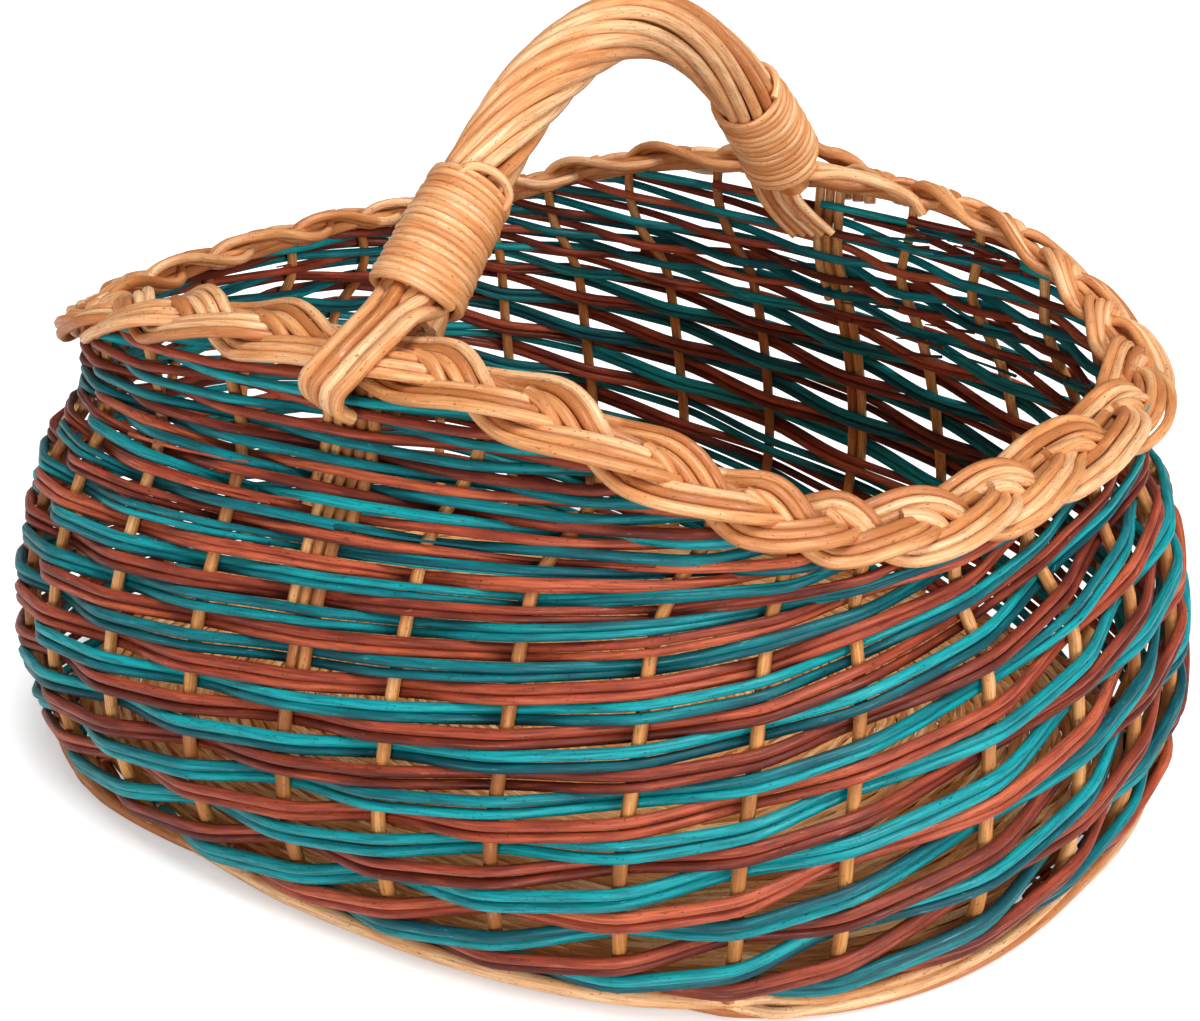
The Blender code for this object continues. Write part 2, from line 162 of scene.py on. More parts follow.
def wall(angle, height):
    """Points of the stake line's surface, drawn in under the border at its top."""
    level = height / SIDE_HEIGHT
    turned = angle + np.radians(read_table(FAN_TABLE, level)) * lean(angle)
    length = BELLY_HALF_LENGTH * read_table(LENGTH_TABLE, level)
    width = BELLY_HALF_WIDTH * read_table(WIDTH_TABLE, level)
    low = oval(turned, length - HANDLE_OFFSET, length + HANDLE_OFFSET, width, WALL_POWER)
    top = rim_height(turned) - BORDER_LEAD_DEPTH
    share = np.clip((height - top + BORDER_BLEND_DEPTH) / BORDER_BLEND_DEPTH, 0, 1)
    share = (share * share * (3 - 2 * share))[..., None]
    point = low * (1 - share) + rim(turned) * share
    point[..., 2] = height
    return point


def unit(vectors):
    return vectors / np.linalg.norm(vectors, axis=-1, keepdims=True)


def wall_frame(angle, height):
    """Wall points with their outward directions."""
    along = unit(wall(angle + FRAME_TURN, height) - wall(angle - FRAME_TURN, height))
    upward = unit(wall(angle, height + FRAME_RISE) - wall(angle, height - FRAME_RISE))
    return wall(angle, height), unit(np.cross(along, upward))


def rim_angle(angle):
    level = rim_height(angle) / SIDE_HEIGHT
    return angle + np.radians(read_table(FAN_TABLE, level)) * lean(angle)


def rim_frame(angle):
    """Border's middle line with the directions across its width and out of its top."""
    along = unit(rim(angle + FRAME_TURN) - rim(angle - FRAME_TURN))
    level = unit(np.stack([along[..., 1], -along[..., 0], np.zeros_like(along[..., 0])], -1))
    upward = np.zeros_like(level)
    upward[..., 2] = 1
    wide = level * math.cos(BORDER_TILT) - upward * math.sin(BORDER_TILT)
    thick = level * math.sin(BORDER_TILT) + upward * math.cos(BORDER_TILT)
    return rim(angle), wide, thick


def underside(angle):
    """Height of the border's underside over the stake line at an angle."""
    drop = BORDER_HALF_THICKNESS / math.cos(BORDER_TILT)
    return rim_height(rim_angle(angle)) - drop


def stake_places():
    """Angle of each stake, counter-clockwise from the near handle stake."""
    half = [math.radians(turn) for turn in STAKE_ANGLES]
    side = half + [math.pi - turn for turn in reversed(half)]
    front = [turn - math.pi / 2 for turn in side[:-1]]
    return np.array(front + [turn + math.pi for turn in front])


STAKE_PLACES = stake_places()


def angle_table():
    """Angles against places counted in stakes, over five turns of the oval."""
    turns = np.array([-2, -1, 0, 1, 2])
    places = (np.arange(STAKES)[None, :] + STAKES * turns[:, None]).ravel()
    angles = (STAKE_PLACES[None, :] + TAU * turns[:, None]).ravel()
    return smooth_table(places, angles, 12001)


ANGLE_TABLE = angle_table()


def angle_at(place):
    """Angle at a place counted in stakes, with whole turns unwrapped."""
    return read_table(ANGLE_TABLE, place)


def row_height(row, angle):
    return read_table(ROW_TABLE, row) * (1 + ROW_WAVE * np.cos(2 * angle))


def handle_line(share):
    """Centre of the bow at shares of its half span, near side negative."""
    share = np.asarray(share, float)
    rise = HANDLE_CROWN_HEIGHT - HANDLE_FOOT_HEIGHT
    y = HANDLE_SIDE_SHIFT + HANDLE_HALF_SPAN * share
    z = HANDLE_FOOT_HEIGHT + rise * (1 - np.abs(share) ** HANDLE_POWER)
    near = np.clip((-share - SWAY_START) / SWAY_RUN, 0, 1)
    x = HANDLE_OFFSET + HANDLE_SHIFT + NEAR_FOOT_SWAY * near * near * (3 - 2 * near)
    return np.stack([x, y, z], -1)


def handle_point(share, turn, radius):
    """Point beside the bow, turned from its +X side over its outer side."""
    share = np.asarray(share, float)
    step = 0.004
    tangent = unit(handle_line(share + step) - handle_line(share - step))
    sideways = np.zeros_like(tangent)
    sideways[..., 0] = 1
    outer = np.cross(sideways, tangent)
    turn = np.asarray(turn, float)[..., None]
    radius = np.asarray(radius, float)[..., None]
    return handle_line(share) + radius * (np.cos(turn) * sideways + np.sin(turn) * outer)


# Steps from one point of a smooth path to the next
PATH_STEPS = 8


def through(points):
    """Smooth path through a few points."""
    points = np.asarray(points, float)
    spans = np.linalg.norm(np.diff(points, axis=0), axis=1) ** 0.5
    places = np.concatenate([[0], np.cumsum(spans)])
    fine = np.linspace(0, places[-1], PATH_STEPS * (len(points) - 1) + 1)
    return np.stack([np.interp(fine, *smooth_table(places, points[:, axis])) for axis in range(3)], -1)


def uneven(share):
    """Random factor about one, whose range is a share of it."""
    return 1 + share * (random.random() - 0.5)


def ripple(places, height, rate):
    """Sine along some places, with a random start."""
    return height * np.sin(places * rate + TAU * random.random())


class Rod:
    """One round rod: its path, its radius along it, its tone and the place where it begins."""

    def __init__(self, path, radius, tone=None):
        self.path = np.asarray(path, float)
        self.radius = np.broadcast_to(np.asarray(radius, float), (len(self.path),))
        value = random.random() if tone is None else tone
        self.tone = np.broadcast_to(np.asarray(value, float), (len(self.path),))
        self.shift = random.random()


def rods(name, items, material, ends, resolution=2, replaces=()):
    """Makes one piece of many rods, each a swept tube with its own grain."""
    curve = bpy.data.curves.new(name, "CURVE")
    curve.dimensions = "3D"
    curve.bevel_depth = 1
    curve.bevel_resolution = resolution
    curve.use_fill_caps = True
    for rod in items:
        spline = curve.splines.new("POLY")
        spline.points.add(len(rod.path) - 1)
        places = np.concatenate([rod.path, np.ones((len(rod.path), 1))], 1)
        spline.points.foreach_set("co", places.ravel())
        spline.points.foreach_set("radius", rod.radius)
    item = bpy.data.objects.new(name + "_path", curve)
    bpy.context.scene.collection.objects.link(item)
    graph = bpy.context.evaluated_depsgraph_get()
    mesh = bpy.data.meshes.new_from_object(item.evaluated_get(graph))
    bpy.data.objects.remove(item, do_unlink=True)
    mark_grain(mesh, items, 4 + 2 * resolution)
    mesh.materials.clear()
    mesh.materials.append(material)
    mesh.materials.append(ends)
    mesh.shade_smooth()
    weld(mesh)
    mesh.name = name
    piece = bpy.data.objects.new(name, mesh)
    bpy.context.scene.collection.objects.link(piece)
    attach(piece, "root")
    if replaces:
        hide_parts(*replaces)
    return piece


def mark_grain(mesh, items, sides):
    """Gives each point its place along and round its rod, and its rod's tone.

    A swept curve's mesh has the points of the cut ends first, from the last rod to the first, then the tubes.
    """
    around = TAU * np.arange(sides) / sides
    tubes, tones, caps, cap_tones = [], [], [], []
    for rod in items:
        steps = np.linalg.norm(np.diff(rod.path, axis=0), axis=1)
        along = np.concatenate([[0], np.cumsum(steps)]) + rod.shift
        radius = rod.radius[:, None]
        ring = np.stack([
            np.broadcast_to(along[:, None], (len(along), sides)),
            radius * np.cos(around), radius * np.sin(around),
        ], -1)
        tubes.append(ring.reshape(-1, 3))
        tones.append(np.repeat(rod.tone, sides))
        caps.append(np.concatenate([ring[-1], ring[0]]))
        cap_tones.append(np.repeat([rod.tone[-1], rod.tone[0]], sides))
    grain = np.concatenate(caps[::-1] + tubes)
    tone = np.concatenate(cap_tones[::-1] + tones)
    layer = mesh.attributes.new("grain", "FLOAT_VECTOR", "POINT")
    layer.data.foreach_set("vector", grain.ravel())
    layer = mesh.attributes.new("tone", "FLOAT", "POINT")
    layer.data.foreach_set("value", tone)
    cap_points = 2 * sides * len(items)
    for face in mesh.polygons:
        face.material_index = 1 if face.vertices[0] < cap_points else 0


# Points closer than this are merged, and edges sharper than this stay sharp
WELD_GAP = 0.001 * MM
SHARP_ANGLE = math.radians(50)


def weld(mesh):
    """Joins the cut ends to the tubes and turns all faces outwards."""
    shape = bmesh.new()
    shape.from_mesh(mesh)
    bmesh.ops.remove_doubles(shape, verts=shape.verts, dist=WELD_GAP)
    bmesh.ops.recalc_face_normals(shape, faces=shape.faces)
    shape.to_mesh(mesh)
    shape.free()
    mesh.set_sharp_from_angle(angle=SHARP_ANGLE)


# Materials


def linear(code):
    """Turns an sRGB hex colour to linear red, green and blue."""
    parts = [int(code[index:index + 2], 16) / 255 for index in (1, 3, 5)]
    values = [part / 12.92 if part <= 0.04045 else ((part + 0.055) / 1.055) ** 2.4 for part in parts]
    return (*values, 1)


def add(tree, kind, settings=(), inputs=(), stops=()):
    """Adds one node with its settings, its inputs, each a value or a link, and its colour stops."""
    node = tree.nodes.new(kind)
    for key, value in settings:
        setattr(node, key, value)
    for key, value in inputs:
        if isinstance(value, bpy.types.NodeSocket):
            tree.links.new(value, node.inputs[key])
        else:
            node.inputs[key].default_value = value
    for index, (place, colour) in enumerate(stops):
        elements = node.color_ramp.elements
        element = elements[index] if index < 2 else elements.new(place)
        element.position = place
        element.color = linear(colour) if isinstance(colour, str) else (colour, colour, colour, 1)
    return node


# Sockets of a colour Mix node
SHARE, UNDER, OVER, MIXED = 0, 6, 7, 2
# How far a rod's own tone moves its colour, against the patches along it
TONE_SPREAD = 0.62
# Depth of the grain's ridges and of the pores
SKIN_RELIEF = 0.3 * MM
COAT_ROUGHNESS = 0.32


def willow(name, tones, streak, speck, worn, roughness, specular, coat, worn_share=0.45):
    """Willow rod: a tone a rod, streaks along the grain, dark specks, scuffed spots and a satin skin."""
    material = bpy.data.materials.new(name)
    material.use_nodes = True
    tree = material.node_tree
    shader = tree.nodes["Principled BSDF"]
    grain = add(tree, "ShaderNodeAttribute", [("attribute_name", "grain")]).outputs["Vector"]
    tone = add(tree, "ShaderNodeAttribute", [("attribute_name", "tone")]).outputs["Fac"]
    noises = []
    # Colour patches, grain lines, pores, scuffs and bark flecks
    for along, around, detail, start in (
        (35 * MM, 5 * MM, 3, 0.0), (14 * MM, 0.75 * MM, 4, 1.3), (1.7 * MM, 0.75 * MM, 2, 2.9),
        (6 * MM, 1.5 * MM, 5, 4.7), (7 * MM, 0.5 * MM, 2, 7.1),
    ):
        # Noise cells of this length along the rod and width round it
        place = add(tree, "ShaderNodeMapping", inputs=[
            ("Vector", grain), ("Location", (start, start, start)),
            ("Scale", (1 / along, 1 / around, 1 / around)),
        ])
        noises.append(add(tree, "ShaderNodeTexNoise", inputs=[
            ("Vector", place.outputs["Vector"]), ("Scale", 1.0), ("Detail", detail),
        ]).outputs["Fac"])
    patches, lines, dots, scuffs, dashes = noises
    mixed = add(tree, "ShaderNodeMath", [("operation", "MULTIPLY_ADD")], [
        (0, tone), (1, TONE_SPREAD), (2, -TONE_SPREAD / 2),
    ])
    spread = add(tree, "ShaderNodeMath", [("operation", "ADD")], [(0, mixed.outputs[0]), (1, patches)])
    colour = add(
        tree, "ShaderNodeValToRGB", inputs=[("Fac", spread.outputs[0])],
        stops=[(0.2, tones[0]), (0.5, tones[1]), (0.8, tones[2])],
    ).outputs["Color"]
    for source, stops, over in (
        (lines, [(0.44, 0.0), (0.66, 0.6)], streak), (lines, [(0.28, 0.45), (0.4, 0.0)], tones[2]),
        (dots, [(0.64, 0.0), (0.72, 0.75)], speck), (dashes, [(0.68, 0.0), (0.76, 0.7)], speck),
        (scuffs, [(0.69, 0.0), (0.76, worn_share)], worn),
    ):
        share = add(tree, "ShaderNodeValToRGB", inputs=[("Fac", source)], stops=stops)
        colour = add(tree, "ShaderNodeMix", [("data_type", "RGBA")], [
            (SHARE, share.outputs["Color"]), (UNDER, colour), (OVER, linear(over)),
        ]).outputs[MIXED]
    tree.links.new(colour, shader.inputs["Base Color"])
    rough = add(tree, "ShaderNodeValToRGB", inputs=[("Fac", lines)],
                stops=[(0.3, roughness - 0.08), (0.72, roughness + 0.16)])
    tree.links.new(rough.outputs["Color"], shader.inputs["Roughness"])
    ridges = add(tree, "ShaderNodeBump", inputs=[
        ("Height", lines), ("Strength", 0.35), ("Distance", SKIN_RELIEF),
    ])
    pits = add(tree, "ShaderNodeBump", inputs=[
        ("Height", dots), ("Normal", ridges.outputs["Normal"]), ("Strength", 0.3), ("Distance", SKIN_RELIEF),
    ])
    tree.links.new(pits.outputs["Normal"], shader.inputs["Normal"])
    shader.inputs["Specular IOR Level"].default_value = specular
    shader.inputs["Coat Weight"].default_value = coat
    shader.inputs["Coat Roughness"].default_value = COAT_ROUGHNESS
    return material


# Boiled and peeled willow: warm buff rods with a satin skin, fine dark pores and brown bark flecks
NATURAL = willow(
    "peeled_willow_satin", ("#B56C38", "#DF9A60", "#F4C492"),
    streak="#B26C38", speck="#55301A", worn="#FAE8D0",
    roughness=0.4, specular=0.45, coat=0.1,
)
# Upright willow stakes, drier: duller and a shade browner
STAKE = willow(
    "peeled_willow_dull", ("#A05E2E", "#D4904E", "#EAB076"),
    streak="#8E5A30", speck="#43260F", worn="#E4C8A2",
    roughness=0.5, specular=0.35, coat=0.0,
)
# Unvarnished willow of the base: matt and pale orange, its tones a shade paler than the other peeled willow
# as painted light falling into the basket
FLOOR = willow(
    "peeled_willow_floor_painted_light", ("#BC743C", "#E8A263", "#F8C78E"),
    streak="#A4652F", speck="#5A3518", worn="#F2D8B0",
    roughness=0.55, specular=0.3, coat=0.0,
)
# Willow dyed teal through the skin: saturated, satin, with near-black pores and pale rubbed spots
TEAL = willow(
    "dyed_willow_teal", ("#024A54", "#047E84", "#089EA3"),
    streak="#033C46", speck="#021C24", worn="#8AD6DC",
    roughness=0.42, specular=0.28, coat=0.05, worn_share=0.3,
)
# Willow dyed brown-red: some rods nearer to their own orange, satin with dark pores
BROWN = willow(
    "dyed_willow_brown_red", ("#5C2014", "#A3452D", "#C6623F"),
    streak="#541C12", speck="#200B08", worn="#E8AA88",
    roughness=0.44, specular=0.28, coat=0.05, worn_share=0.25,
)
# Cut rod end: dry pale wood across the grain, no skin
CUT = willow(
    "cut_willow_end", ("#B4824E", "#CBA070", "#DDB68A"),
    streak="#8E6238", speck="#5A3A20", worn="#E6CDA8",
    roughness=0.75, specular=0.2, coat=0.0,
)


# Siding

STEPS_PER_ROW = 8
# Share of a weaver's path that is drawn straight between the stakes
TAUT = 0.55
# The two rods of a band lie this many rows and this far out from its middle, to either side
PAIR_LIFT = 0.25
PAIR_SHIFT = 0.3 * MM
# The first set's rods end at random over a spread of rows, the second set's under the border
LOWER_LAST_ROW = 17.2
LOWER_LAST_SPREAD = 3.2
UPPER_LAST_ROW = 30.2
# Weavers run this far up into the border, and a stretch with no more steps than this is left out
TUCK_IN = 5 * MM
SHORTEST_SPAN = 6


def depth_share(row):
    """Where a weaver runs: behind every third stake, in front of the two between."""
    phase = np.mod(row, 3)
    rising = -np.cos(math.pi * np.clip(phase, 0, 1))
    falling = np.cos(math.pi * np.clip(phase - 2, 0, 1))
    return np.where(phase < 1, rising, np.where(phase < 2, 1.0, falling))


def weaver(band, rows, radius, lift, outward_shift):
    """Path of one weaver of a band over a span of rows, drawn tight between the stakes."""
    angle = angle_at(band + rows)
    height = row_height(rows, angle)
    step = row_height(rows + 0.5, angle) - row_height(rows - 0.5, angle)
    point, outward = wall_frame(angle, height + lift * step)
    offset = depth_share(rows) * (STAKE_RADIUS + radius) + outward_shift
    path = point + outward * offset[:, None]
    held = np.abs(rows - np.round(rows)) < 0.01
    held[[0, -1]] = True
    straight = np.stack([np.interp(rows, rows[held], path[held, axis]) for axis in range(3)], -1)
    path = path * (1 - TAUT) + straight * TAUT
    path[1:-1] = 0.25 * path[:-2] + 0.5 * path[1:-1] + 0.25 * path[2:]
    return path


def seen_spans(band, rows):
    """Stretches of a band's rows that lie below the border."""
    angle = angle_at(band + rows)
    open_rows = row_height(rows, angle) < underside(angle) + TUCK_IN
    spans, start = [], None
    for index, clear in enumerate(open_rows):
        if clear and start is None:
            start = index
        if start is not None and (not clear or index == len(rows) - 1):
            if index - start > SHORTEST_SPAN:
                spans.append((start, index))
            start = None
    return spans


def weavers(colour):
    """Rods of every other band: two stacked ones from the foot, then a stouter one up to the border."""
    lower, upper = [], []
    for band in range(colour, STAKES, 2):
        for which in (-1, 1):
            last = LOWER_LAST_ROW + LOWER_LAST_SPREAD * random.random()
            rows = np.arange(FIRST_ROW - 1 / STEPS_PER_ROW, last, 1 / STEPS_PER_ROW)
            thick = uneven(0.16)
            table = (FIRST_ROW, 4, 11, JOINT_ROW, last), (2.2, 2.05, 1.75, 1.3, 0.75)
            radius = np.interp(rows, *table) * MM * thick
            lift = PAIR_LIFT * which + ripple(rows, 0.045, 0.8)
            stray = 1.6 * MM * np.clip(rows - last + 2.2, 0, None) * random.random()
            path = weaver(band, rows, radius, lift, which * PAIR_SHIFT + stray)
            for first, end in seen_spans(band, rows):
                lower.append(Rod(path[first:end], radius[first:end]))
        rows = np.arange(JOINT_ROW - 1 / STEPS_PER_ROW, UPPER_LAST_ROW, 1 / STEPS_PER_ROW)
        thick = uneven(0.14)
        radius = np.interp(rows, (JOINT_ROW, 20, 30), (1.5, 2.05, 1.85)) * MM * thick
        path = weaver(band, rows, radius, ripple(rows, 0.06, 0.7), 0.0)
        for first, end in seen_spans(band, rows):
            upper.append(Rod(path[first:end], radius[first:end]))
    return lower, upper


brown_lower, brown_upper = weavers(0)
teal_lower, teal_upper = weavers(1)
rods("brown_lower_weavers", brown_lower, BROWN, BROWN, replaces=("lower_siding",))
rods("teal_lower_weavers", teal_lower, TEAL, TEAL)
rods("brown_upper_weavers", brown_upper, BROWN, BROWN, replaces=("upper_siding",))
rods("teal_upper_weavers", teal_upper, TEAL, TEAL)


def stray_tips(bands):
    """Thin tips of the first weavers that stand off the wall where the second set begins."""
    items = []
    for band in bands:
        start = 16.2 + 2.6 * random.random()
        rows = np.arange(start, start + 0.9 + 0.8 * random.random(), 1 / STEPS_PER_ROW)
        share = (rows - rows[0]) / (rows[-1] - rows[0])
        angle = angle_at(band + rows)
        slope = (random.random() - 0.35) * 5 * MM
        point, outward = wall_frame(angle, row_height(rows, angle) + slope * share)
        reach = STAKE_RADIUS + 2.2 * MM + 2.6 * MM * share * random.random()
        items.append(Rod(point + outward * reach[:, None], np.interp(share, (0, 1), (0.75, 0.35)) * MM))
    return items


rods("brown_stray_tips", stray_tips((4, 10, 12, 20, 22, 26)), BROWN, BROWN, resolution=1)
rods("teal_stray_tips", stray_tips((3, 5, 9, 13, 19, 25)), TEAL, TEAL, resolution=1)


def inner_tips(count, first, spread, height, sag):
    """Thin dyed tips left standing on the inside of the far wall, all at the dye's darkest tone as painted
    shade of the basket's inside.
    """
    items = []
    for _ in range(count):
        share = np.linspace(0, 1, 9)
        place = first + spread * random.random() + (0.5 + 0.6 * random.random()) * share
        level = height + sag * (random.random() - 0.5) + 9 * MM * (random.random() - 0.6) * share
        point, outward = wall_frame(angle_at(place), level)
        reach = STAKE_RADIUS + (2.4 + 2.2 * random.random() + 1.5 * share * random.random()) * MM
        # Tone 0.1 keeps every tip at the dark end of its dye: painted shade inside the far wall
        items.append(Rod(point - outward * reach[:, None], np.interp(share, (0, 1), (0.8, 0.35)) * MM, 0.1))
    return items


# Inner tips of both dyes, whose fixed dark tone is painted shade
brown_tips = inner_tips(10, 12.2, 1.5, 193 * MM, 9 * MM) + inner_tips(7, 10.2, 4, 146 * MM, 24 * MM)
teal_tips = inner_tips(8, 12.0, 1.8, 191 * MM, 10 * MM) + inner_tips(7, 10.4, 4, 148 * MM, 22 * MM)
rods("brown_inner_tips_painted_shade", brown_tips, BROWN, BROWN, resolution=1)
rods("teal_inner_tips_painted_shade", teal_tips, TEAL, TEAL, resolution=1)


# Stakes


def stake_rods():
    for index, angle in enumerate(STAKE_PLACES):
        top = float(underside(np.array([angle]))[0]) + 3 * MM
        heights = np.linspace(FOOT_HEIGHT - 2 * MM, top, 44)
        path = wall(np.full_like(heights, angle), heights)
        radius = np.linspace(2.7, 2.25, len(heights)) * MM
        rods(f"stake_rod_{index + 1:02d}", [Rod(path, radius)], STAKE, CUT,
             replaces=(f"stake_{index + 1:02d}",))


stake_rods()


# Border

# One strand's repeat over three stakes: along the outer edge, in under the strand before it,
# round the inner edge, and steeply back across the top
STRAND_TABLE = (
    (0.0, 0.3, -0.45), (0.12, 0.55, -0.85), (0.28, 0.85, -0.8), (0.45, 1.0, -0.35), (0.65, 1.05, 0.25),
    (0.85, 0.95, 0.65), (1.05, 0.81, 0.9), (1.25, 0.62, 1.0), (1.4, 0.38, 0.75), (1.52, 0.06, 0.2),
    (1.64, -0.34, -0.55), (1.78, -0.72, -1.0), (1.94, -0.92, -1.1), (2.12, -0.98, -0.7), (2.3, -0.98, -0.05),
    (2.48, -0.91, 0.6), (2.64, -0.7, 0.95), (2.8, -0.32, 0.85), (2.9, 0.0, 0.4), (3.0, 0.3, -0.45),
)
STRAND_PLACES, STRAND_ACROSS, STRAND_ABOVE = zip(*STRAND_TABLE)
STRAND_PERIOD = 3
STRAND_REPEATS = STAKES // STRAND_PERIOD
STRAND_RODS = 3
BORDER_ROD_RADIUS = 2.15 * MM
BORDER_BUTT_RADIUS = 2.6 * MM
BORDER_REACH = 9.7 * MM
BORDER_LAYER = 4.1 * MM
BORDER_CORE_RADIUS = 2.5 * MM
BORDER_CORE_RODS = 3
STUB_POINTS = 14


def periodic(values):
    """Table of one strand's repeat, smooth across its ends."""
    places = np.concatenate([np.array(STRAND_PLACES[:-1]) + STRAND_PERIOD * turn for turn in (-1, 0, 1)])
    return smooth_table(places, np.tile(values[:-1], 3), 6001)


ACROSS_TABLE = periodic(STRAND_ACROSS)
ABOVE_TABLE = periodic(STRAND_ABOVE)


def strand_middle(place, phase, lift=0.0):
    """Middle of a strand at a place counted in stakes."""
    local = np.mod(place + phase, STRAND_PERIOD)
    angle = rim_angle(angle_at(place))
    across = read_table(ACROSS_TABLE, local) * BORDER_REACH
    above = (read_table(ABOVE_TABLE, local) + lift) * BORDER_LAYER
    middle, wide, thick = rim_frame(angle)
    return middle + wide * across[:, None] + thick * above[:, None], thick


def strand(place, phase, aside, lift=0.0):
    """Path of one rod of a strand, a number of rods aside from its middle."""
    step = 0.02
    middle, thick = strand_middle(place, phase, lift)
    ahead, behind = strand_middle(place + step, phase)[0], strand_middle(place - step, phase)[0]
    sideways = unit(np.cross(thick, unit(ahead - behind)))
    return middle + sideways * (2 * BORDER_ROD_RADIUS * np.reshape(aside, (-1, 1)))


def border_rods():
    items = []
    place = np.arange(0, STAKES + 0.001, 1 / 16)
    for phase in range(STRAND_PERIOD):
        for rod in range(STRAND_RODS):
            groups = np.floor((place + phase + 0.95) / STRAND_PERIOD).astype(int) % STRAND_REPEATS
            tone = random.random(STRAND_REPEATS)[groups]
            thick = (0.93 + 0.16 * random.random(STRAND_REPEATS))[groups]
            thick = np.convolve(np.pad(thick, 8, mode="edge"), np.ones(17) / 17, mode="valid")
            aside = rod - 1 + 0.07 * np.sin(place * TAU * 5 / STAKES + TAU * random.random())
            lift = 0.07 * np.sin(place * TAU * 7 / STAKES + TAU * random.random())
            items.append(Rod(strand(place, phase, aside, lift), BORDER_ROD_RADIUS * thick, tone))
        for turn in range(STRAND_REPEATS):
            crossing = STRAND_PERIOD * (turn + 1) - phase
            start = crossing - 0.6 - 0.1 * random.random()
            stub = np.linspace(start, crossing - 0.2, STUB_POINTS)
            share = np.linspace(0, 1, STUB_POINTS)
            path = strand(stub, phase, -1.5 - 0.45 * share, 0.55 * (1 - share) ** 2 - 1.2 * share ** 3)
            items.append(Rod(path, BORDER_BUTT_RADIUS * (0.95 + 0.2 * random.random())))
    return items


def border_core_rods():
    """Rods inside the plait, which close its gaps."""
    items = []
    place = np.arange(0, STAKES + 0.001, 1 / 6)
    middle, wide, thick = rim_frame(rim_angle(angle_at(place)))
    for index in range(BORDER_CORE_RODS):
        turn = TAU * (5 * place / STAKES + index / BORDER_CORE_RODS)
        across = (-0.15 + 0.5 * np.cos(turn)) * BORDER_REACH
        above = (-0.45 + 0.45 * np.sin(turn)) * BORDER_LAYER
        path = middle + wide * across[:, None] + thick * above[:, None]
        items.append(Rod(path, BORDER_CORE_RADIUS, 0.3))
    return items


rods("plaited_border", border_rods(), NATURAL, CUT, replaces=("border",))
rods("border_core_rods", border_core_rods(), NATURAL, CUT)


# Handle

ROPING_RODS = 12
ROPING_ROD_RADIUS = 2.65 * MM
# Turn of the roping in radians a metre: at its surface about 24 degrees on the near half, 11 on the far half
ROPING_NEAR_RATE = 34
ROPING_FAR_RATE = 15
# Shares of the half span from which to which the roping and the core inside it run
ROPING_SPAN = (-0.9, 0.87)
CORE_SPAN = (-0.9, 0.92)
# Points on one loop of a binding
LOOP_POINTS = 28


def arc_table():
    """Length along the bow against the share of its half span."""
    shares = np.linspace(-1.0, 1.0, 801)
    steps = np.linalg.norm(np.diff(handle_line(shares), axis=0), axis=1)
    return shares, np.concatenate([[0], np.cumsum(steps)])


ARC_SHARES, ARC_LENGTHS = arc_table()


def arc_length(share):
    return np.interp(share, ARC_SHARES, ARC_LENGTHS)


def roping_turn(share, index):
    """Turn of one rod of the roping about the bow, quicker on the near half."""
    far = np.clip((ARC_SHARES + 0.25) / 0.5, 0, 1)
    rate = ROPING_NEAR_RATE + (ROPING_FAR_RATE - ROPING_NEAR_RATE) * far
    turned = np.concatenate([[0], np.cumsum(rate[1:] * np.diff(ARC_LENGTHS))])
    return TAU * index / ROPING_RODS - np.interp(share, ARC_SHARES, turned)


def roping_rods():
    items = []
    share = np.linspace(*ROPING_SPAN, 170)
    for index in range(ROPING_RODS):
        wave = ripple(share, 0.35 * MM, 9)
        sway = ripple(share, 0.05, 5)
        radius = ROPING_ROD_RADIUS * uneven(0.1)
        path = handle_point(share, roping_turn(share, index) + sway, HANDLE_RADIUS - radius + wave)
        items.append(Rod(path, radius))
    core = np.linspace(*CORE_SPAN, 60)
    items.append(Rod(handle_line(core), HANDLE_RADIUS - 2.2 * ROPING_ROD_RADIUS))
    return items


def winding(shares, loops, wires, slack):
    """One unbroken winding with its loops side by side and its lowest loop slack."""
    count = loops * LOOP_POINTS
    step = np.arange(count + 1)
    lengths = np.linspace(arc_length(shares[0]), arc_length(shares[1]), count + 1)
    share = np.interp(lengths, ARC_LENGTHS, ARC_SHARES)
    wire = np.interp(share, shares, wires)
    swell = HANDLE_RADIUS + wire - 0.3 * MM + 0.25 * MM * np.sin(step * 0.37)
    swell = swell + np.interp(share, shares, slack)
    tone = 0.55 + 0.12 * np.sin(step * 0.061)
    return Rod(handle_point(share, TAU * step / LOOP_POINTS, swell), wire, tone)


rods("handle_roping_rods", roping_rods(), NATURAL, CUT, replaces=("handle_roping", "handle_core"))
near_winding = winding(NEAR_BINDING, 17, (1.85 * MM, 1.55 * MM), (1.6 * MM, 0.0))
far_winding = winding(FAR_BINDING, 14, (1.6 * MM, 1.85 * MM), (0.0, 1.2 * MM))


def binding_tail():
    """End of the cane, folded back under the top loop of the near binding."""
    place = NEAR_BINDING[1]
    share = np.array((-0.018, -0.002, 0.008, 0.008, -0.004, -0.022)) + place
    turn = np.array((1.35, 1.15, 0.75, 0.3, -0.05, -0.2))
    reach = HANDLE_RADIUS + np.array((0.5, 2.2, 3.0, 3.2, 3.0, 1.5)) * MM
    return Rod(through(handle_point(share, turn, reach)), 1.75 * MM, 0.6)


rods("near_binding_winding", [near_winding, binding_tail()], NATURAL, CUT, replaces=("near_binding",))
rods("far_binding_winding", [far_winding], NATURAL, CUT, replaces=("far_binding",))


def roping_ends():
    """Cut ends of the roping that stand out above the far binding."""
    items = []
    for index in range(5):
        share = np.linspace(0.66, FAR_BINDING[0] - 0.045 - 0.008 * random.random(), 8)
        turn = 2.05 + 0.27 * index
        reach = HANDLE_RADIUS + np.linspace(0.2, 1.3, 8) * MM
        items.append(Rod(handle_point(share, turn, reach), 1.9 * MM))
    return items


rods("roping_ends", roping_ends(), NATURAL, CUT)

FOOT_ROD_RADIUS = 2.65 * MM


def route(starts, table):
    """Smooth path from points beside the bow through a table of places in millimetres."""
    return through(starts + [np.array(place) * MM for place in table])


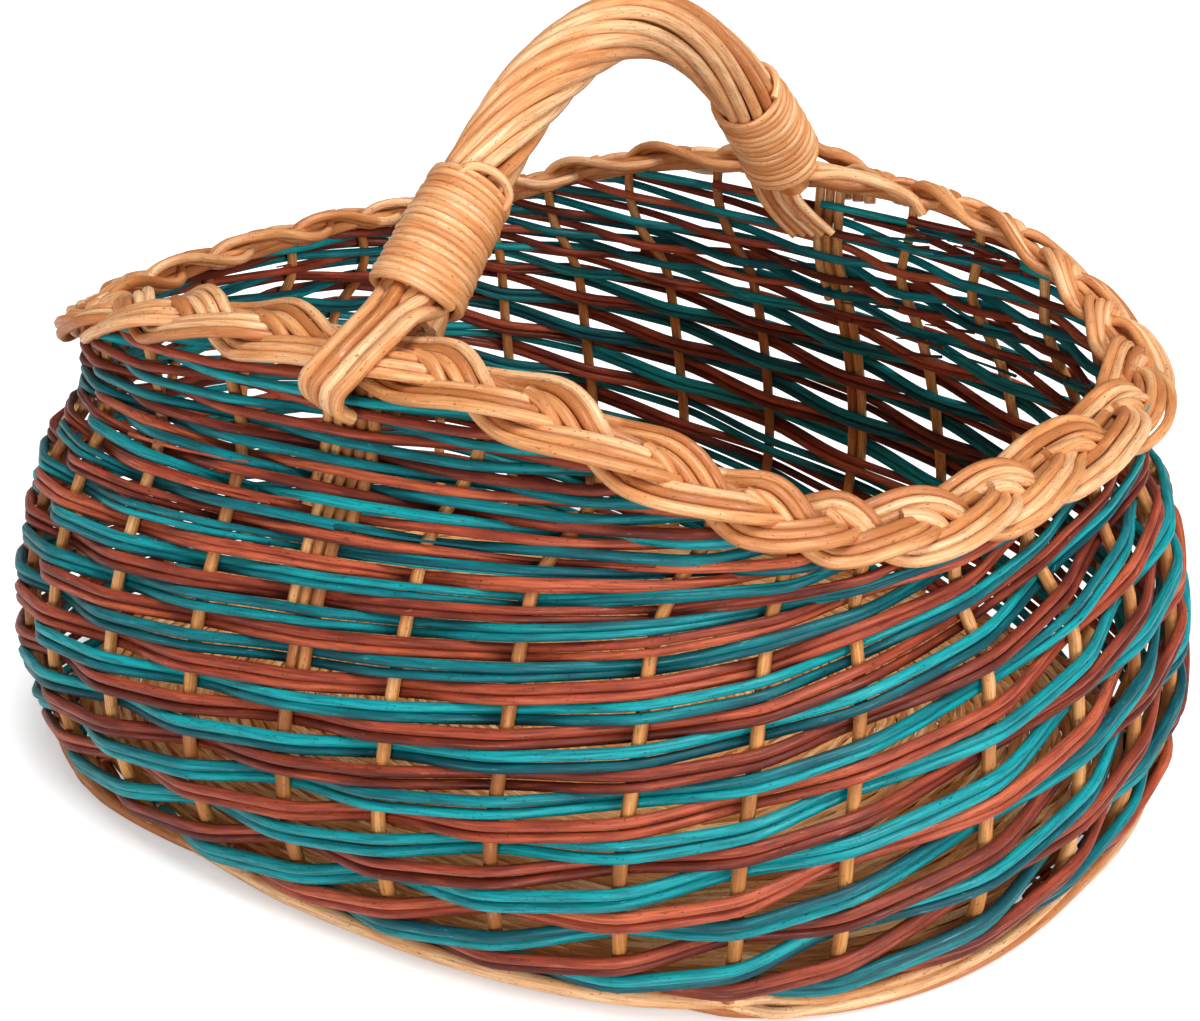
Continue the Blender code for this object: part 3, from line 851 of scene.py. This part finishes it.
def near_outer_rods():
    """Four rods side by side from the near binding over the border, bent down round its outer edge."""
    items = []
    for rod in range(4):
        share = rod / 3
        turn = 2.5 - 2.9 * share
        points = [handle_point(NEAR_BINDING[0] + 0.03, turn, HANDLE_RADIUS - FOOT_ROD_RADIUS)]
        points.append(handle_point(NEAR_BINDING[0] + 0.004, turn, HANDLE_RADIUS - 0.9 * FOOT_ROD_RADIUS))
        table = (
            (9.8 + 6.2 * rod, -157.3, 224.8), (10.4 + 6.1 * rod, -167.5, 220.8),
            (10.2 + 5.9 * rod, -177.4, 216.2), (8.2 + 5.4 * rod, -183.3, 211.0 - 0.5 * rod),
            (5.0 + 4.7 * rod, -184.8, 206.2 - 1.2 * rod), (4.0 + 4.3 * rod, -182.3, 200.3 - 1.4 * rod),
            (7.0 + 3.4 * rod, -176, 195.2 - rod),
        )
        items.append(Rod(route(points, table), FOOT_ROD_RADIUS * (0.96 + 0.06 * random.random())))
    return items


def far_outer_rods():
    """Three rods that cross the far border and two that lie along it."""
    items = []
    for rod in range(3):
        x = 4.0 + (rod - 1) * 6.0
        turn = math.pi / 2 - (rod - 1) * 0.5
        points = [handle_point(FAR_BINDING[1] - 0.03, turn, HANDLE_RADIUS - FOOT_ROD_RADIUS)]
        table = (
            (x + 1, 152, 225.5), (x + 3, 166, 221.4), (x + 6, 177, 215),
            (x + 9, 182.5, 207), (x + 11, 180, 198),
        )
        items.append(Rod(route(points, table), FOOT_ROD_RADIUS))
    for rod in range(2):
        x, y = 6.0 * rod, 5.2 * rod
        points = [handle_point(FAR_BINDING[1] - 0.04, 0.3 - 0.6 * rod, HANDLE_RADIUS - FOOT_ROD_RADIUS)]
        points.append(handle_point(FAR_BINDING[1] + 0.012, 0.2 - 0.6 * rod, HANDLE_RADIUS - FOOT_ROD_RADIUS))
        table = ((25 + x, 142 - y, 220.5), (38 + x, 148 - y, 218), (52 + x, 152 - y, 213), (62, 156 - y, 206))
        items.append(Rod(route(points, table), FOOT_ROD_RADIUS * 0.9))
    return items


def near_inner_rods():
    """Rods that leave the near binding behind the border: one at its left, two at its right."""
    items = []
    for turn, table in (
        (math.pi, ((-8.5, -139, 214), (-9.5, -143, 200), (-10, -146, 182))),
        (-0.35, ((17, -131, 208), (15.5, -142, 199), (14, -152, 183))),
        (-0.9, ((12, -127, 206), (9.5, -139, 197), (8, -151, 181))),
    ):
        points = [handle_point(NEAR_BINDING[0] + 0.02, turn, HANDLE_RADIUS - FOOT_ROD_RADIUS)]
        items.append(Rod(route(points, table), 0.9 * FOOT_ROD_RADIUS))
    return items


def far_inner_rods():
    """Five rods side by side from the far binding, bent aside inside the border."""
    items = []
    for rod in range(5):
        share = rod / 4
        turn = math.pi + 0.35 + 1.75 * share
        points = [handle_point(FAR_BINDING[1] - 0.03, turn, HANDLE_RADIUS - FOOT_ROD_RADIUS)]
        table = (
            (-14.0 + 18.5 * share, 134 + 2 * share, 214.5), (-12.5 + 20.0 * share, 138, 205.5),
            (-7.5 + 21.0 * share, 142, 196.5 + 1.5 * share), (2.5 + 19.0 * share, 146, 186.5 + 4.5 * share),
        )
        radius = np.linspace(1, 0.72, PATH_STEPS * len(table) + 1) * 2.45 * MM
        items.append(Rod(route(points, table), radius))
    return items


rods("near_foot_rods", near_outer_rods(), NATURAL, CUT,
     replaces=[f"near_foot_rod_{rod + 1}" for rod in range(4)])
rods("far_foot_rods", far_outer_rods(), NATURAL, CUT,
     replaces=[f"far_foot_rod_{rod + 1}" for rod in range(5)])
rods("near_inner_rods", near_inner_rods(), NATURAL, CUT)
rods("far_inner_rods", far_inner_rods(), NATURAL, CUT)


LINER_TOP = 207 * MM
LINER_SPACING = 5.1 * MM
LINER_RADIUS = 2.3 * MM


def liner_rods(side, bottoms):
    """Rods pushed down beside a handle stake, each with its place and its lower end in millimetres."""
    items = []
    for place, bottom in bottoms:
        heights = np.linspace(bottom * MM, LINER_TOP, 24)
        path = wall(np.full_like(heights, side * math.pi / 2), heights)
        path[:, 0] += place * LINER_SPACING
        items.append(Rod(path, LINER_RADIUS))
    return items


near_liners = liner_rods(-1, ((-1, 122), (1, 100), (2, 152), (-2, 156)))
far_liners = liner_rods(1, ((1, 60), (-1, 150)))
rods("near_liners", near_liners, STAKE, CUT, replaces=("near_liner_rod",))
rods("far_liners", far_liners, STAKE, CUT, replaces=("far_liner_rod",))


# Foot and floor

# Height at which the wall's line is read for the foot, and for the floor
FOOT_LEVEL = 4 * MM
FLOOR_LEVEL = 12 * MM
# Height of the floor weave's middle, in millimetres as its waves are
FLOOR_MIDDLE = 13.4
SPOKE_RADIUS = 1.1 * MM
ROUND_RADIUS = 1.7 * MM


def foot_rods():
    """Stout rods laid over each other round the near and left sides, thinner ones round the rest."""
    items = []
    for first, last, turn, thick in ((-9.4, -0.4, 0.2, 3.1), (-8.0, 5.0, 2.9, 2.9), (-2.4, 5.4, 0.5, 2.9)):
        place = np.arange(first, last, 1 / 8)
        taper = np.clip(np.minimum(place - place[0], place[-1] - place) / 2.2, 0, 1)
        twist = turn + 0.13 * place
        point, outward = wall_frame(angle_at(place), np.full_like(place, FOOT_LEVEL))
        path = point + outward * (taper * (1.6 + 2.4 * np.cos(twist)) - 3.5 * (1 - taper))[:, None] * MM
        path[:, 2] = (5.5 + 2.4 * np.sin(twist) * taper - 0.6 * taper) * MM
        knot = 0.4 * np.exp(-((place + 3.2) / 0.12) ** 2)
        items.append(Rod(path, (1.6 + (thick - 1.6) * taper + knot) * MM))
    for index in range(6):
        place = np.arange(2.2 + 0.5 * index, 23.6 - 0.4 * index, 1 / 8)
        twist = TAU * (place / 11 + index / 6)
        point, outward = wall_frame(angle_at(place), np.full_like(place, FOOT_LEVEL))
        taper = np.clip(np.minimum(place - place[0], place[-1] - place) / 0.8, 0, 1)
        path = point + outward * (taper * (1.4 + 3.7 * np.cos(twist)) - 3.5 * (1 - taper))[:, None] * MM
        path[:, 2] = (5.3 + 3.1 * np.sin(twist) * taper) * MM
        items.append(Rod(path, (2.05 + 0.3 * random.random()) * MM))
    return items


rods("foot_twist", foot_rods(), NATURAL, CUT, replaces=("foot_rim",))


def floor_rods():
    """Fine rods paired round spokes, in rounds from the middle to the wall."""
    items = []
    for angle in STAKE_PLACES:
        edge = wall(np.array([angle]), np.array([FLOOR_LEVEL]))[0]
        inner = edge * 0.25
        steps = np.linspace(0, 1, 12)[:, None]
        path = inner * (1 - steps) + edge * 0.985 * steps
        path[:, 2] = FLOOR_MIDDLE * MM
        items.append(Rod(path, SPOKE_RADIUS))
    for share in np.arange(0.016, 0.975, 0.0185):
        place = np.arange(0, STAKES + 0.001, 1 / 5 if share > 0.4 else 1 / 4)
        edge = wall(angle_at(place), np.full_like(place, FLOOR_LEVEL))
        swing = min(1, share / 0.25)
        for way in (-1, 1):
            path = edge * share
            path[:, 2] = (FLOOR_MIDDLE + way * 1.5 * swing * np.cos(math.pi * place + 40 * share)) * MM
            aside = 0.8 * way * swing * np.sin(math.pi * place + 40 * share) * MM
            path += unit(edge * [1, 1, 0]) * aside[:, None]
            items.append(Rod(path, ROUND_RADIUS))
    return items


# The floor rods take the floor willow, whose extra paleness is painted light
rods("floor_rounds", floor_rods(), FLOOR, CUT, resolution=1, replaces=("floor_weave",))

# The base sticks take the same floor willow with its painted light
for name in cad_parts:
    if "base_stick" in name:
        item = bpy.data.objects[name]
        for slot in item.material_slots:
            slot.material = FLOOR


# Stage, light and camera

# Light that the camera sees straight off the floor, so that it stays white around the shadow
FLOOR_GLOW = 0.45
WORLD_LIGHT = 0.15


def stage():
    bpy.ops.mesh.primitive_plane_add(size=14)
    floor = bpy.context.active_object
    floor.name = "studio_floor"
    material = bpy.data.materials.new("matt_white_sweep")
    material.use_nodes = True
    tree = material.node_tree
    shader = tree.nodes["Principled BSDF"]
    shader.inputs["Base Color"].default_value = linear("#F4F4F4")
    shader.inputs["Roughness"].default_value = 0.9
    shader.inputs["Specular IOR Level"].default_value = 0.1
    shader.inputs["Emission Color"].default_value = (1, 1, 1, 1)
    eye = add(tree, "ShaderNodeLightPath").outputs["Is Camera Ray"]
    glow = add(tree, "ShaderNodeMath", [("operation", "MULTIPLY")], [(0, eye), (1, FLOOR_GLOW)])
    tree.links.new(glow.outputs[0], shader.inputs["Emission Strength"])
    floor.data.materials.append(material)
    world = bpy.data.worlds.new("studio")
    bpy.context.scene.world = world
    world.use_nodes = True
    tree = world.node_tree
    background = tree.nodes["Background"]
    eye = add(tree, "ShaderNodeLightPath").outputs["Is Camera Ray"]
    strength = add(tree, "ShaderNodeMapRange", inputs=[
        ("Value", eye), ("To Min", WORLD_LIGHT), ("To Max", 1.0),
    ])
    tree.links.new(strength.outputs["Result"], background.inputs["Strength"])
    background.inputs["Color"].default_value = (1, 1, 1, 1)


def sun(name, place, angle, strength):
    """Large soft lamp far off in a direction."""
    data = bpy.data.lights.new(name, "SUN")
    data.angle = math.radians(angle)
    data.energy = strength
    item = bpy.data.objects.new(name, data)
    bpy.context.scene.collection.objects.link(item)
    item.rotation_euler = (-Vector(place)).to_track_quat("-Z", "Y").to_euler()


stage()
sun("top_light", (0.3, -0.2, 1.0), 30, 2.4)
sun("front_light", (0.35, -1.0, 0.04), 24, 1.85)
sun("right_light", (1.4, -0.25, 0.5), 24, 1.7)

# Camera, at the photograph's viewing angle on an image of 1200 by 1021
IMAGE_WIDTH = 1200
FOCAL_PIXELS = 2300
SENSOR = 36
CAMERA_TURN = math.radians(35.02)
CAMERA_RISE = math.radians(21.77)
CAMERA_ROLL = math.radians(1.38)
CAMERA_DISTANCE = 899.7 * MM
CAMERA_AIM = Vector((17.9 * MM, -48.6 * MM, 119.4 * MM))
SHIFT_PIXELS = (32.5, -1.5)


def camera():
    back = Vector((
        math.sin(CAMERA_TURN) * math.cos(CAMERA_RISE),
        -math.cos(CAMERA_TURN) * math.cos(CAMERA_RISE),
        math.sin(CAMERA_RISE),
    ))
    right = (-back).cross(Vector((0, 0, 1))).normalized()
    up = right.cross(-back)
    turned = math.cos(CAMERA_ROLL) * right + math.sin(CAMERA_ROLL) * up
    upright = -math.sin(CAMERA_ROLL) * right + math.cos(CAMERA_ROLL) * up
    data = bpy.data.cameras.new("camera")
    data.sensor_width = SENSOR
    data.sensor_fit = "HORIZONTAL"
    data.lens = FOCAL_PIXELS / IMAGE_WIDTH * SENSOR
    data.shift_x = SHIFT_PIXELS[0] / IMAGE_WIDTH
    data.shift_y = SHIFT_PIXELS[1] / IMAGE_WIDTH
    data.clip_start = 10 * MM
    item = bpy.data.objects.new("camera", data)
    bpy.context.scene.collection.objects.link(item)
    axes = Matrix((turned, upright, back)).transposed()
    item.matrix_world = Matrix.Translation(CAMERA_AIM + back * CAMERA_DISTANCE) @ axes.to_4x4()
    bpy.context.scene.camera = item


camera()
bpy.context.scene.view_settings.view_transform = "Standard"
